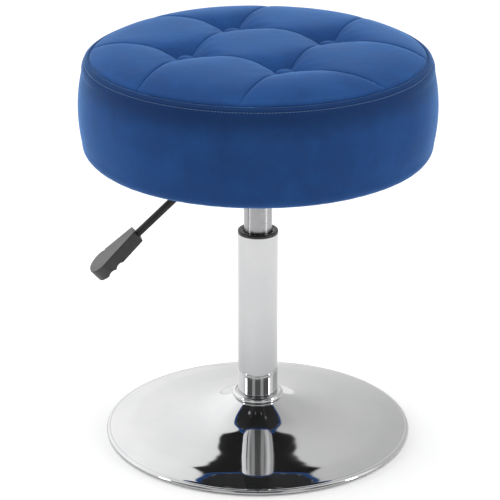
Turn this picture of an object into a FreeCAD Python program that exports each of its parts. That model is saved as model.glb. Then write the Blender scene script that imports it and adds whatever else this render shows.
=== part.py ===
import FreeCAD, Part
import math
import os
from types import SimpleNamespace

import Sketcher
from FreeCAD import Placement, Rotation, Vector

# A round velvet stool with a tufted top. Its seat turns and rises on a gas spring that stands
# in a chrome column, and the column stands in a spun trumpet base. All lengths are in
# millimetres. The floor is z = 0 and the column stands on the Z axis.
DIMENSIONS = {
    # Base
    "baseRadius": 192.5,
    "baseRimLift": 1.2,
    "baseRimCentre": 4.5,
    "baseShoulderInset": 6.0,
    "baseShoulderHeight": 8.2,
    "baseRimTopArc": 6.5,
    "baseKneeRadius": 80.0,
    "baseKneeHeight": 27.0,
    "baseNeckGap": 4.0,
    "baseNeckHeight": 46.9,
    "baseFootArc": 1548.0,
    "baseThroatArc": 165.0,
    "shellWall": 1.2,
    "floorRingHeight": 3.2,
    "floorRingInset": 4.5,
    "floorRingWidth": 10.0,
    "bottomPlateWall": 2.0,
    "bottomPlateInset": 3.0,
    "bottomPlateBore": 14.0,
    "hubWall": 3.0,
    "hubDrop": 0.9,
    "collarReach": 7.2,
    "collarSection": 3.7,
    "collarStep": 1.1,
    "collarChamfer": 0.7,
    # Column
    "columnRadius": 25.0,
    "columnWall": 1.5,
    "columnFoot": 10.0,
    "columnTaperRise": 1.1,
    "columnTaper": 0.025,
    "columnTop": 268.0,
    "capHeight": 4.0,
    "capLip": 0.2,
    "capEdge": 1.4,
    "capSkirt": 4.0,
    "capGroove": 2.4,
    "sleeveLength": 88.0,
    "endPlateWall": 3.0,
    "endPlateLift": 2.0,
    # Thrust bearing
    "washerWall": 1.5,
    "washerRadius": 14.0,
    "washerPlay": 1.0,
    "ballRadius": 2.0,
    "ballRing": 10.0,
    "ballGap": 0.02,
    "cageWall": 2.0,
    "cageInset": 0.6,
    "bumperInset": 0.5,
    "bumperHeight": 11.5,
    # Gas spring
    "rodRadius": 5.0,
    "rodTail": 2.7,
    "rodChamfer": 0.3,
    "clipWall": 1.2,
    "clipReach": 4.0,
    "clipMouth": 7.0,
    "rodWasherWall": 1.2,
    "rodWasherReach": 5.5,
    "tubeRadius": 17.5,
    "tubeWall": 1.5,
    "tubeTaperLength": 45.0,
    "tubeTaper": 0.025,
    "tubeStandOut": 77.0,
    "tubeChamfer": 0.5,
    "rodGuideHeight": 18.0,
    "rodGuideInset": 2.0,
    "rodSealHeight": 5.0,
    "innerBore": 12.5,
    "innerWall": 1.0,
    "valveHeight": 23.0,
    "valveFloor": 3.6,
    "pistonHeight": 13.0,
    "strokeLength": 120.0,
    "strokeSpare": 11.16,
    "pistonStep": 1.0,
    "sealSection": 1.2,
    "releaseRadius": 3.0,
    "releaseLift": 4.0,
    "releaseDome": 0.8,
    # Seat mechanism, seen along the lever
    "leverAngle": 190.0,
    "leverRise": 11.0,
    "leverRodRadius": 4.7,
    "leverInnerEnd": 3.0,
    "leverPivot": 22.0,
    "leverCorner": 64.0,
    "leverBend": 25.0,
    "leverDrop": 42.8,
    "leverSlope": 117.8,
    "pivotPinRadius": 2.5,
    "pivotPinEnd": 1.0,
    "housingLift": 1.4,
    "housingHeight": 24.0,
    "housingBack": 13.0,
    "housingFront": 20.0,
    "housingSide": 5.0,
    "housingWall": 2.0,
    "housingCorner": 7.0,
    "leverSlotPlay": 1.5,
    "leverSlotSwing": 4.0,
    "leverSlotRise": 1.0,
    "socketWall": 3.5,
    "socketLength": 33.0,
    "plateSide": 150.0,
    "plateWall": 2.5,
    "plateCorner": 15.0,
    "boltInset": 15.0,
    "boltRadius": 4.0,
    "boltTipDepth": 1.4,
    "boltHeadFlats": 13.0,
    "boltHeadHeight": 5.3,
    "boltWasherReach": 5.0,
    "boltWasherWall": 1.6,
    "boltPlay": 0.5,
    "nutWall": 0.9,
    "nutBarrelHeight": 11.0,
    "nutFlangeReach": 5.1,
    "nutFlangeWall": 1.5,
    # Lever grip, seen from above with its neck at x = 0
    "gripLength": 73.2,
    "gripWall": 3.65,
    "gripNeckWall": 5.2,
    "gripNotch": 46.9,
    "gripNotchDepth": 3.2,
    "gripNotchRadius": 1.9,
    "gripTipHalf": 20.9,
    "gripTipReach": 19.2,
    "gripTipArc": 18.5,
    "gripBore": 40.0,
    "gripEdge": 1.0,
    "gripCorner": 1.2,
    "scallopRadius": 8.0,
    "scallopDepth": 2.6,
    "scallopFirst": 40.6,
    "scallopPitch": 12.5,
    # Seat
    "seatRadius": 214.2,
    "seatDepth": 123.4,
    "seatFootInset": 17.9,
    "seatRollRise": 19.5,
    "seatRollArc": 18.2,
    "seatSideArc": 205.0,
    "seatShoulderInset": 1.3,
    "seatShoulderDrop": 16.6,
    "seatShoulderArc": 14.5,
    "seamInset": 11.2,
    "crownShoulderInset": 36.0,
    "crownShoulderRise": 12.0,
    "crownShoulderArc": 62.0,
    "crownRise": 17.5,
    "coverWall": 1.6,
    "coverHem": 18.0,
    "boardInset": 2.3,
    "boardWall": 15.0,
    "dustCoverWall": 0.7,
    "dustCoverInset": 5.0,
    "buttonSpacing": 129.0,
    "buttonAngle": 20.0,
    "buttonRadius": 11.5,
    "buttonHeight": 7.0,
    "buttonEdge": 2.0,
    "pillowRadius": 400.0,
    "pillowSlab": 1.8,
    "pitDepth": 4.0,
    "pitRadius": 12.6,
    "pitMouth": 36.0,
    "pitArc": 27.0,
    "twineRadius": 0.9,
    "toggleRadius": 6.0,
    "toggleWall": 1.1,
    "stapleLength": 11.0,
    "stapleWidth": 1.2,
    "stapleWall": 0.6,
    "stapleInset": 5.0,
    # Clearances
    "runningFit": 0.05,
    "slipGap": 0.1,
    "looseGap": 0.3,
}
THRUST_BALLS = 10
STAPLES = 28
BUTTONS = 4
SCALLOPS = 2
FULL_TURN = 360.0
BOLT_CORNERS = [(1, 1), (-1, 1), (-1, -1), (1, -1)]
BOLT_TURN = 17.0
PILLOW_TURN = 37.0
CUT_MARGIN = 2.0

doc = FreeCAD.newDocument("VanityStool")
nodes = {}


class Size:
    """A length that holds its number and the sheet expression that gives it."""

    def __init__(self, number, text):
        self.number = number
        self.text = text

    def __add__(self, other):
        other = as_size(other)
        return Size(self.number + other.number, f"({self.text} + {other.text})")

    def __sub__(self, other):
        other = as_size(other)
        return Size(self.number - other.number, f"({self.text} - {other.text})")

    def __mul__(self, other):
        other = as_size(other)
        return Size(self.number * other.number, f"({self.text} * {other.text})")

    def __truediv__(self, other):
        other = as_size(other)
        return Size(self.number / other.number, f"({self.text} / {other.text})")

    def __neg__(self):
        return Size(-self.number, f"(0 - {self.text})")


def as_size(value):
    """A plain number as a Size."""
    return value if isinstance(value, Size) else Size(float(value), f"{value:.8f}")


def sine(angle):
    """The sine of an angle in degrees."""
    return Size(math.sin(math.radians(angle.number)), f"sin({angle.text})")


def cosine(angle):
    """The cosine of an angle in degrees."""
    return Size(math.cos(math.radians(angle.number)), f"cos({angle.text})")


def tangent(angle):
    """The tangent of an angle in degrees."""
    return Size(math.tan(math.radians(angle.number)), f"tan({angle.text})")


def dome_arc(reach, rise):
    """The radius of the arc about the axis that falls by a rise over a reach."""
    return (reach * reach + rise * rise) / (rise * 2)


def size_sheet():
    """The spreadsheet of driving dimensions, and each of them by name."""
    sheet = doc.addObject("Spreadsheet::Sheet", "Sizes")
    for row, (name, value) in enumerate(DIMENSIONS.items(), start=1):
        sheet.set(f"A{row}", name)
        sheet.set(f"B{row}", str(value))
        sheet.setAlias(f"B{row}", name)
    doc.recompute()
    return SimpleNamespace(**{name: Size(value, f"Sizes.{name}") for name, value in DIMENSIONS.items()})


dim = size_sheet()


def bind(feature, name, value):
    """Sets a property, through the sheet where its value comes from there."""
    value = as_size(value)
    setattr(feature, name, value.number)
    feature.setExpression(name, value.text)


def place(feature, spot=(0, 0, 0), turn=None):
    """Places a feature at a spot whose coordinates follow the sheet."""
    spot = [as_size(value) for value in spot]
    feature.Placement = Placement(Vector(*[value.number for value in spot]), turn or Rotation())
    for axis, value in zip("xyz", spot):
        feature.setExpression(f"Placement.Base.{axis}", value.text)
    return feature


def about_z(angle):
    """A turn about the vertical axis."""
    return Rotation(Vector(0, 0, 1), angle)


def origin_plane(body, role):
    """One of a body's own origin planes."""
    return next(plane for plane in body.Origin.OriginFeatures if plane.Role == role)


def new_body(name):
    """An empty body."""
    return doc.addObject("PartDesign::Body", name)


def arc_through(start, end, radius):
    """The minor arc between two points, on the left of the way where the radius is positive."""
    chord = end - start
    half = chord.Length / 2
    height = math.sqrt(radius * radius - half * half)
    left = Vector(-chord.y, chord.x, 0).normalize()
    side = 1 if radius > 0 else -1
    centre = (start + end) * 0.5 - left * (side * height)
    circle = Part.Circle(centre, Vector(0, 0, 1), abs(radius))
    first, last = (end, start) if side > 0 else (start, end)
    angles = [math.atan2(point.y - centre.y, point.x - centre.x) for point in (first, last)]
    return Part.ArcOfCircle(circle, angles[0], angles[1]), side > 0


def outline_sketch(body, name, role, outline, closed=True):
    """A sketch on an origin plane, through corners of (x, y) or (x, y, arc radius onwards)."""
    sketch = body.newObject("Sketcher::SketchObject", name)
    sketch.AttachmentSupport = [(origin_plane(body, role), "")]
    sketch.MapMode = "FlatFace"
    corners = [[as_size(value) for value in corner] for corner in outline]
    points = [Vector(corner[0].number, corner[1].number, 0) for corner in corners]
    count = len(points) if closed else len(points) - 1
    ends = []
    radii = []
    for index in range(count):
        start = points[index]
        end = points[(index + 1) % len(points)]
        if len(corners[index]) == 3:
            arc, reverse = arc_through(start, end, corners[index][2].number)
            sketch.addGeometry(arc)
            ends.append((2, 1) if reverse else (1, 2))
            radii.append((index, corners[index][2]))
        else:
            sketch.addGeometry(Part.LineSegment(start, end))
            ends.append((1, 2))
    for index in range(count if closed else count - 1):
        following = (index + 1) % count
        joined = Sketcher.Constraint("Coincident", index, ends[index][1], following, ends[following][0])
        sketch.addConstraint(joined)
    for index, corner in enumerate(corners):
        on_curve = (index, ends[index][0]) if index < count else (count - 1, ends[count - 1][1])
        for kind, value in (("DistanceX", corner[0]), ("DistanceY", corner[1])):
            number = sketch.addConstraint(Sketcher.Constraint(kind, -1, 1, *on_curve, value.number))
            sketch.renameConstraint(number, f"{kind}{index}")
            sketch.setExpression(f"Constraints.{kind}{index}", value.text)
    for index, radius in radii:
        size = radius if radius.number > 0 else -radius
        number = sketch.addConstraint(Sketcher.Constraint("Radius", index, size.number))
        sketch.renameConstraint(number, f"Arc{index}")
        sketch.setExpression(f"Constraints.Arc{index}", size.text)
    return sketch


def circle_sketch(body, name, role, circles):
    """A sketch of circles on an origin plane, each given as (x, y, radius)."""
    sketch = body.newObject("Sketcher::SketchObject", name)
    sketch.AttachmentSupport = [(origin_plane(body, role), "")]
    sketch.MapMode = "FlatFace"
    for index, circle in enumerate(circles):
        x, y, radius = [as_size(value) for value in circle]
        sketch.addGeometry(Part.Circle(Vector(x.number, y.number, 0), Vector(0, 0, 1), radius.number))
        for kind, value in (("DistanceX", x), ("DistanceY", y)):
            number = sketch.addConstraint(Sketcher.Constraint(kind, -1, 1, index, 3, value.number))
            sketch.renameConstraint(number, f"{kind}{index}")
            sketch.setExpression(f"Constraints.{kind}{index}", value.text)
        number = sketch.addConstraint(Sketcher.Constraint("Radius", index, radius.number))
        sketch.renameConstraint(number, f"Circle{index}")
        sketch.setExpression(f"Constraints.Circle{index}", radius.text)
    return sketch


def turned(name, outline):
    """A body turned about the Z axis from an outline of (radius, height) corners."""
    body = new_body(name)
    sketch = outline_sketch(body, f"{name}_outline", "XZ_Plane", outline)
    turning = body.newObject("PartDesign::Revolution", f"{name}_turning")
    turning.Profile = sketch
    turning.ReferenceAxis = (sketch, ["V_Axis"])
    turning.Angle = FULL_TURN
    return body


def ring(name, inner, outer, low, high):
    """A turned body of rectangular section."""
    return turned(name, [(inner, low), (outer, low), (outer, high), (inner, high)])


def padded_body(name, sketch_role, outline, thickness, lift):
    """A body padded from an outline, from a height that follows the sheet."""
    body = new_body(name)
    sketch = outline_sketch(body, f"{name}_outline", sketch_role, outline)
    sketch.setExpression("AttachmentOffset.Base.z", as_size(lift).text)
    pad = body.newObject("PartDesign::Pad", f"{name}_pad")
    pad.Profile = sketch
    bind(pad, "Length", thickness)
    doc.recompute()
    return body


def fillet_edges(body, name, radius, wanted):
    """Rounds the edges of a body's tip that pass a test."""
    tip = body.Tip
    edges = [f"Edge{index}" for index, edge in enumerate(tip.Shape.Edges, start=1) if wanted(edge)]
    fillet = body.newObject("PartDesign::Fillet", name)
    fillet.Base = (tip, edges)
    bind(fillet, "Radius", radius)
    doc.recompute()
    return fillet


def is_upright(edge):
    """Whether an edge is a straight one along Z."""
    return edge.BoundBox.XLength + edge.BoundBox.YLength < 0.001 and edge.BoundBox.ZLength > 0.001


def pocket(body, name, sketch, both_ways=True):
    """Cuts a sketch through a body."""
    cut = body.newObject("PartDesign::Pocket", name)
    cut.Profile = sketch
    cut.Type = "ThroughAll"
    cut.SideType = "Symmetric" if both_ways else "One side"
    doc.recompute()
    return cut


def cylinder(name, radius, length, spot, turn=None):
    """A cylinder that stands on a spot."""
    solid = doc.addObject("Part::Cylinder", name)
    bind(solid, "Radius", radius)
    bind(solid, "Height", length)
    return place(solid, spot, turn)


def drill(name, radius, low, high, x, y):
    """A cylinder that cuts a hole from one height to another, and past both."""
    return cylinder(name, radius, as_size(high) - low + CUT_MARGIN * 2, (x, y, as_size(low) - CUT_MARGIN))


def box(name, length, width, height, spot, turn=None):
    """A box from its low corner."""
    solid = doc.addObject("Part::Box", name)
    bind(solid, "Length", length)
    bind(solid, "Width", width)
    bind(solid, "Height", height)
    return place(solid, spot, turn)


def fused(name, parts):
    """One solid made of several."""
    whole = doc.addObject("Part::MultiFuse", name)
    whole.Shapes = parts
    return whole


def cut(name, base, tools):
    """A base with tools taken out of it."""
    tool = tools[0] if len(tools) == 1 else fused(f"{name}_tools", tools)
    result = doc.addObject("Part::Cut", name)
    result.Base = base
    result.Tool = tool
    return result


def group(name, parts):
    """A group of separate solids."""
    whole = doc.addObject("Part::Compound", name)
    whole.Links = parts
    return whole


def keep(name, feature):
    """Keeps a feature as a named sub-part."""
    feature.Label = name
    nodes[name] = feature
    return feature


def ring_spots(count, radius, first_angle):
    """Evenly spaced angles and the spots at them."""
    for index in range(count):
        angle = first_angle + FULL_TURN * index / count
        x = radius * math.cos(math.radians(angle))
        y = radius * math.sin(math.radians(angle))
        yield index, angle, x, y


# Sizes that several pieces share
neck_radius = dim.columnRadius + dim.baseNeckGap
taper_top = dim.baseNeckHeight + dim.columnTaperRise
bottom_plate_top = dim.floorRingHeight + dim.bottomPlateWall
end_plate_foot = dim.columnFoot + dim.endPlateLift
end_plate_top = end_plate_foot + dim.endPlateWall
lower_washer_top = end_plate_top + dim.washerWall
ball_centre = lower_washer_top + dim.ballGap + dim.ballRadius
upper_washer_foot = ball_centre + dim.ballRadius + dim.ballGap
upper_washer_top = upper_washer_foot + dim.washerWall
bumper_top = upper_washer_top + dim.bumperHeight
tube_foot = bumper_top + dim.looseGap
column_bore = dim.columnRadius - dim.columnWall
cap_foot = dim.columnTop - dim.capSkirt
tube_bore = dim.tubeRadius - dim.tubeWall
tube_top = dim.columnTop + dim.tubeStandOut
tube_taper_start = tube_top - dim.tubeTaperLength
rod_guide_foot = tube_foot + dim.rodGuideInset
rod_guide_top = rod_guide_foot + dim.rodGuideHeight
rod_seal_top = rod_guide_top + dim.rodSealHeight
valve_foot = tube_top - dim.valveHeight
piston_foot = rod_seal_top + dim.strokeLength + dim.strokeSpare
piston_top = piston_foot + dim.pistonHeight
lever_height = tube_top + dim.leverRise
housing_foot = tube_top + dim.housingLift
plate_foot = housing_foot + dim.housingHeight
dust_cover_foot = plate_foot + dim.plateWall
seat_bottom = dust_cover_foot + dim.dustCoverWall
board_foot = seat_bottom + dim.coverWall
board_top = board_foot + dim.boardWall
seam_height = seat_bottom + dim.seatDepth
seam_radius = dim.seatRadius - dim.seamInset
seat_foot_radius = dim.seatRadius - dim.seatFootInset
board_radius = seat_foot_radius - dim.boardInset
dust_cover_radius = board_radius - dim.dustCoverInset
staple_ring = dust_cover_radius - dim.stapleInset
pit_floor = seam_height - dim.pitDepth
button_ring = dim.buttonSpacing * math.sqrt(0.5)
widest_seat = dim.seatRadius + dim.coverHem
socket_radius = dim.tubeRadius + dim.socketWall
housing_half = socket_radius + dim.housingSide
plate_hole = dim.boltRadius + dim.boltPlay
bolt_reach = dim.plateSide / 2 - dim.boltInset


def column_radius_at(height):
    """The outer radius of the column's tapered foot."""
    return dim.columnRadius - (taper_top - height) * dim.columnTaper


def tube_radius_at(height):
    """The outer radius of the pressure tube's tapered top."""
    return dim.tubeRadius - (height - tube_taper_start) * dim.tubeTaper


# Base
def base_shell_outline():
    """The spun shell: a trumpet with a rolled rim, one wall thick."""
    wall = dim.shellWall
    shoulder = dim.baseRadius - dim.baseShoulderInset
    rim_tuck = dim.baseRadius - dim.baseRimCentre + dim.baseRimLift
    rim_arc = dim.baseRimCentre - dim.baseRimLift
    return [
        (neck_radius, dim.baseNeckHeight, -dim.baseThroatArc),
        (dim.baseKneeRadius, dim.baseKneeHeight, -dim.baseFootArc),
        (shoulder, dim.baseShoulderHeight, dim.baseRimTopArc),
        (dim.baseRadius, dim.baseRimCentre, rim_arc),
        (rim_tuck, dim.baseRimLift),
        (rim_tuck, dim.baseRimLift + wall, -(rim_arc - wall)),
        (dim.baseRadius - wall, dim.baseRimCentre, -(dim.baseRimTopArc - wall)),
        (shoulder, dim.baseShoulderHeight - wall, dim.baseFootArc + wall),
        (dim.baseKneeRadius, dim.baseKneeHeight - wall, dim.baseThroatArc + wall),
        (neck_radius, dim.baseNeckHeight - wall),
    ]


def collar_outline():
    """The collar: a flat ring with a half-round outer edge."""
    inner = dim.columnRadius + dim.capLip
    reach = dim.columnRadius + dim.collarReach
    edge = reach - dim.collarSection
    seat = dim.baseNeckHeight
    top = seat + dim.collarSection * 2
    step = top - dim.collarStep
    return [
        (inner, seat),
        (edge, seat, -dim.collarSection),
        (reach, seat + dim.collarSection, -dim.collarSection),
        (edge, top),
        (edge - dim.collarChamfer, step),
        (inner, step),
    ]


keep("base_shell", turned("base_shell", base_shell_outline()))
keep("base_bottom_plate", ring("base_bottom_plate", dim.bottomPlateBore,
                               dim.baseRadius - dim.bottomPlateInset,
                               dim.floorRingHeight, bottom_plate_top))
floor_ring_outer = dim.baseRadius - dim.floorRingInset
keep("floor_ring", ring("floor_ring", floor_ring_outer - dim.floorRingWidth, floor_ring_outer,
                        0, dim.floorRingHeight))
hub_radius = dim.columnRadius + dim.hubWall
hub_top = dim.baseNeckHeight - dim.hubDrop
keep("hub_socket", turned("hub_socket", [
    (column_radius_at(dim.columnFoot), bottom_plate_top),
    (hub_radius, bottom_plate_top),
    (hub_radius, hub_top),
    (column_radius_at(hub_top), hub_top),
    (column_radius_at(dim.columnFoot), dim.columnFoot),
]))
keep("collar_ring", turned("collar_ring", collar_outline()))

# Column
keep("column_tube", turned("column_tube", [
    (column_radius_at(dim.columnFoot) - dim.columnWall, dim.columnFoot),
    (column_radius_at(dim.columnFoot), dim.columnFoot),
    (dim.columnRadius, taper_top),
    (dim.columnRadius, dim.columnTop),
    (column_bore, dim.columnTop),
    (column_bore, taper_top),
]))
keep("column_end_plate", ring("column_end_plate", dim.rodRadius + dim.slipGap,
                              column_radius_at(end_plate_foot) - dim.columnWall - dim.slipGap,
                              end_plate_foot, end_plate_top))
cap_radius = dim.columnRadius + dim.capLip
cap_bore = dim.tubeRadius + dim.looseGap
cap_top = dim.columnTop + dim.capHeight
keep("column_cap", turned("column_cap", [
    (cap_bore, cap_foot),
    (column_bore - dim.slipGap, cap_foot),
    (column_bore - dim.slipGap, dim.columnTop),
    (cap_radius, dim.columnTop),
    (cap_radius, cap_top - dim.capEdge, -dim.capEdge),
    (cap_radius - dim.capEdge, cap_top),
    (cap_bore + dim.capGroove, cap_top),
    (cap_bore, cap_top - dim.capEdge),
]))
keep("guide_sleeve", ring("guide_sleeve", dim.tubeRadius + dim.runningFit, column_bore,
                          cap_foot - dim.sleeveLength, cap_foot))

# Thrust bearing
washer_bore = dim.rodRadius + dim.washerPlay
keep("bearing_lower_washer", ring("bearing_lower_washer", washer_bore, dim.washerRadius,
                                  end_plate_top, lower_washer_top))
cage_blank = ring("cage_blank", washer_bore + dim.looseGap, dim.washerRadius - dim.cageInset,
                  ball_centre - dim.cageWall / 2, ball_centre + dim.cageWall / 2)
cage_holes = []
balls = []
for index, angle, x, y in ring_spots(THRUST_BALLS, dim.ballRing, 0):
    cage_holes.append(drill(f"cage_hole_{index}", dim.ballRadius + dim.slipGap,
                            ball_centre - dim.cageWall, ball_centre + dim.cageWall, x, y))
    ball = doc.addObject("Part::Sphere", f"thrust_ball_{index}")
    bind(ball, "Radius", dim.ballRadius)
    balls.append(place(ball, (x, y, ball_centre)))
keep("ball_cage", cut("ball_cage", cage_blank, cage_holes))
keep("thrust_balls", group("thrust_balls", balls))
keep("bearing_upper_washer", ring("bearing_upper_washer", dim.rodRadius, dim.washerRadius,
                                  upper_washer_foot, upper_washer_top))
keep("rubber_bumper", ring("rubber_bumper", dim.rodRadius + dim.slipGap, dim.tubeRadius - dim.bumperInset,
                           upper_washer_top, bumper_top))

# Gas spring
rod_washer_top = end_plate_foot - dim.slipGap
rod_washer_foot = rod_washer_top - dim.rodWasherWall
clip_foot = rod_washer_foot - dim.clipWall
clip_groove = dim.rodRadius - dim.clipWall / 2
clip_radius = dim.rodRadius + dim.clipReach
rod_foot = clip_foot - dim.rodTail
keep("piston_rod", turned("piston_rod", [
    (0, rod_foot),
    (dim.rodRadius - dim.rodChamfer, rod_foot),
    (dim.rodRadius, rod_foot + dim.rodChamfer),
    (dim.rodRadius, clip_foot),
    (clip_groove, clip_foot),
    (clip_groove, rod_washer_foot),
    (dim.rodRadius, rod_washer_foot),
    (dim.rodRadius, piston_foot),
    (dim.rodRadius - dim.pistonStep, piston_foot),
    (dim.rodRadius - dim.pistonStep, piston_top + dim.clipWall),
    (0, piston_top + dim.clipWall),
]))
keep("rod_washer", ring("rod_washer", dim.rodRadius, dim.rodRadius + dim.rodWasherReach,
                        rod_washer_foot, rod_washer_top))
clip_blank = ring("clip_blank", clip_groove, clip_radius, clip_foot, rod_washer_foot)
clip_mouth = box("clip_mouth", clip_radius + CUT_MARGIN, dim.clipMouth, dim.clipWall + CUT_MARGIN * 2,
                 (0, -dim.clipMouth / 2, clip_foot - CUT_MARGIN))
keep("retaining_clip", cut("retaining_clip", clip_blank, [clip_mouth]))
seal_middle = piston_foot + dim.pistonHeight / 2
seal_floor = dim.innerBore - dim.sealSection * 2
keep("piston_head", turned("piston_head", [
    (dim.rodRadius - dim.pistonStep, piston_foot),
    (dim.innerBore - dim.runningFit, piston_foot),
    (dim.innerBore - dim.runningFit, seal_middle - dim.sealSection),
    (seal_floor, seal_middle - dim.sealSection),
    (seal_floor, seal_middle + dim.sealSection),
    (dim.innerBore - dim.runningFit, seal_middle + dim.sealSection),
    (dim.innerBore - dim.runningFit, piston_top),
    (dim.rodRadius - dim.pistonStep, piston_top),
]))
seal_half = dim.sealSection - dim.slipGap
keep("piston_seal", ring("piston_seal", seal_floor, dim.innerBore - dim.runningFit / 2,
                         seal_middle - seal_half, seal_middle + seal_half))
keep("pressure_tube", turned("pressure_tube", [
    (tube_bore, tube_foot),
    (dim.tubeRadius - dim.tubeChamfer, tube_foot),
    (dim.tubeRadius, tube_foot + dim.tubeChamfer),
    (dim.tubeRadius, tube_taper_start),
    (tube_radius_at(tube_top), tube_top),
    (tube_radius_at(tube_top) - dim.tubeWall, tube_top),
    (tube_bore, tube_taper_start),
]))
keep("rod_guide", ring("rod_guide", dim.rodRadius + dim.runningFit, tube_bore,
                       rod_guide_foot, rod_guide_top))
keep("rod_seal", ring("rod_seal", dim.rodRadius + dim.runningFit / 2, tube_bore,
                      rod_guide_top, rod_seal_top))
keep("inner_cylinder", ring("inner_cylinder", dim.innerBore, dim.innerBore + dim.innerWall,
                            rod_seal_top, valve_foot))
valve_radius = tube_radius_at(tube_top) - dim.tubeWall
keep("valve_body", turned("valve_body", [
    (dim.releaseRadius + dim.runningFit, valve_foot + dim.valveFloor),
    (dim.releaseRadius + dim.runningFit, tube_top),
    (valve_radius, tube_top),
    (valve_radius, valve_foot),
    (0, valve_foot),
    (0, valve_foot + dim.valveFloor),
]))
release_top = lever_height - dim.leverRodRadius - dim.looseGap
release_foot = valve_foot + dim.valveFloor + dim.releaseLift
keep("release_pin", turned("release_pin", [
    (0, release_foot),
    (dim.releaseRadius, release_foot),
    (dim.releaseRadius, release_top - dim.releaseDome, -dome_arc(dim.releaseRadius, dim.releaseDome)),
    (0, release_top),
]))

# Seat mechanism
lever_turn = about_z(dim.leverAngle.number)
socket_foot = tube_top - dim.socketLength
socket_top = housing_foot + dim.housingWall
keep("taper_socket", turned("taper_socket", [
    (tube_radius_at(socket_foot), socket_foot),
    (socket_radius - dim.housingWall, socket_foot),
    (socket_radius, socket_foot + dim.housingWall),
    (socket_radius, socket_top),
    (tube_radius_at(tube_top), socket_top),
    (tube_radius_at(tube_top), tube_top),
]))


def rectangle(low_x, high_x, half_y):
    """The corners of a rectangle that is symmetric about the X axis."""
    return [(low_x, -half_y), (high_x, -half_y), (high_x, half_y), (low_x, half_y)]


def lever_frame(body):
    """Turns a body that is modelled along X to the lever's direction."""
    body.Placement = Placement(Vector(0, 0, 0), lever_turn)
    body.setExpression("Placement.Rotation.Angle", dim.leverAngle.text)
    return body


def housing():
    """The pressed channel under the plate, open at the top, with the lever's slot at one end."""
    wall = dim.housingWall
    back = socket_radius + dim.housingBack
    front = dim.leverPivot + dim.housingFront
    body = padded_body("mechanism_housing", "XY_Plane", rectangle(-back, front, housing_half),
                       dim.housingHeight, housing_foot)
    fillet_edges(body, "housing_corners", dim.housingCorner, is_upright)
    hollow = outline_sketch(body, "housing_hollow_outline", "XY_Plane",
                            rectangle(-(back - wall), front - wall, housing_half - wall))
    hollow.setExpression("AttachmentOffset.Base.z", plate_foot.text)
    doc.recompute()
    hollow_cut = body.newObject("PartDesign::Pocket", "housing_hollow")
    hollow_cut.Profile = hollow
    bind(hollow_cut, "Length", dim.housingHeight - wall)
    doc.recompute()
    circle = circle_sketch(body, "socket_hole_circle", "XY_Plane", [(0, 0, socket_radius)])
    circle.setExpression("AttachmentOffset.Base.z", housing_foot.text)
    doc.recompute()
    pocket(body, "socket_hole", circle)
    pin_circle = circle_sketch(body, "pin_hole_circle", "XZ_Plane",
                               [(dim.leverPivot, lever_height, dim.pivotPinRadius)])
    pocket(body, "pin_holes", pin_circle)
    slot_middle = lever_height + dim.leverSlotRise
    slot_half = dim.leverRodRadius + dim.leverSlotPlay
    slot_swing = dim.leverRodRadius + dim.leverSlotSwing
    slot = outline_sketch(body, "lever_slot_outline", "YZ_Plane", [
        (-slot_half, slot_middle - slot_swing),
        (slot_half, slot_middle - slot_swing),
        (slot_half, slot_middle + slot_swing),
        (-slot_half, slot_middle + slot_swing),
    ])
    slot.setExpression("AttachmentOffset.Base.z", dim.leverPivot.text)
    slot_cut = body.newObject("PartDesign::Pocket", "lever_slot")
    slot_cut.Profile = slot
    slot_cut.Reversed = True
    bind(slot_cut, "Length", front)
    doc.recompute()
    return lever_frame(body)


def mechanism_plate():
    """The flat plate that is bolted under the seat board."""
    half = dim.plateSide / 2
    body = padded_body("mechanism_plate", "XY_Plane", rectangle(-half, half, half), dim.plateWall, plate_foot)
    fillet_edges(body, "plate_corners", dim.plateCorner, is_upright)
    spots = [(bolt_reach * along, bolt_reach * across) for along, across in BOLT_CORNERS]
    holes = circle_sketch(body, "plate_hole_circles", "XY_Plane",
                          [(x, y, plate_hole) for x, y in spots])
    holes.setExpression("AttachmentOffset.Base.z", plate_foot.text)
    doc.recompute()
    pocket(body, "plate_holes", holes)
    return lever_frame(body)


keep("mechanism_housing", housing())
keep("mechanism_plate", mechanism_plate())


def at_lever(along, across):
    """The X and Y of a spot given along and across the lever's direction."""
    return (along * cosine(dim.leverAngle) - across * sine(dim.leverAngle),
            along * sine(dim.leverAngle) + across * cosine(dim.leverAngle))


pin_reach = housing_half + dim.pivotPinEnd
pin_x, pin_y = at_lever(dim.leverPivot, pin_reach)
across_lever = lever_turn.multiply(Rotation(Vector(1, 0, 0), 90))
keep("pivot_pin", cylinder("pivot_pin", dim.pivotPinRadius, pin_reach * 2,
                           (pin_x, pin_y, lever_height), across_lever))


def bolt_spots():
    """The X and Y of the four bolts, square to the lever."""
    for index, (along, across) in enumerate(BOLT_CORNERS):
        x, y = at_lever(bolt_reach * along, bolt_reach * across)
        yield index, x, y


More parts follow.
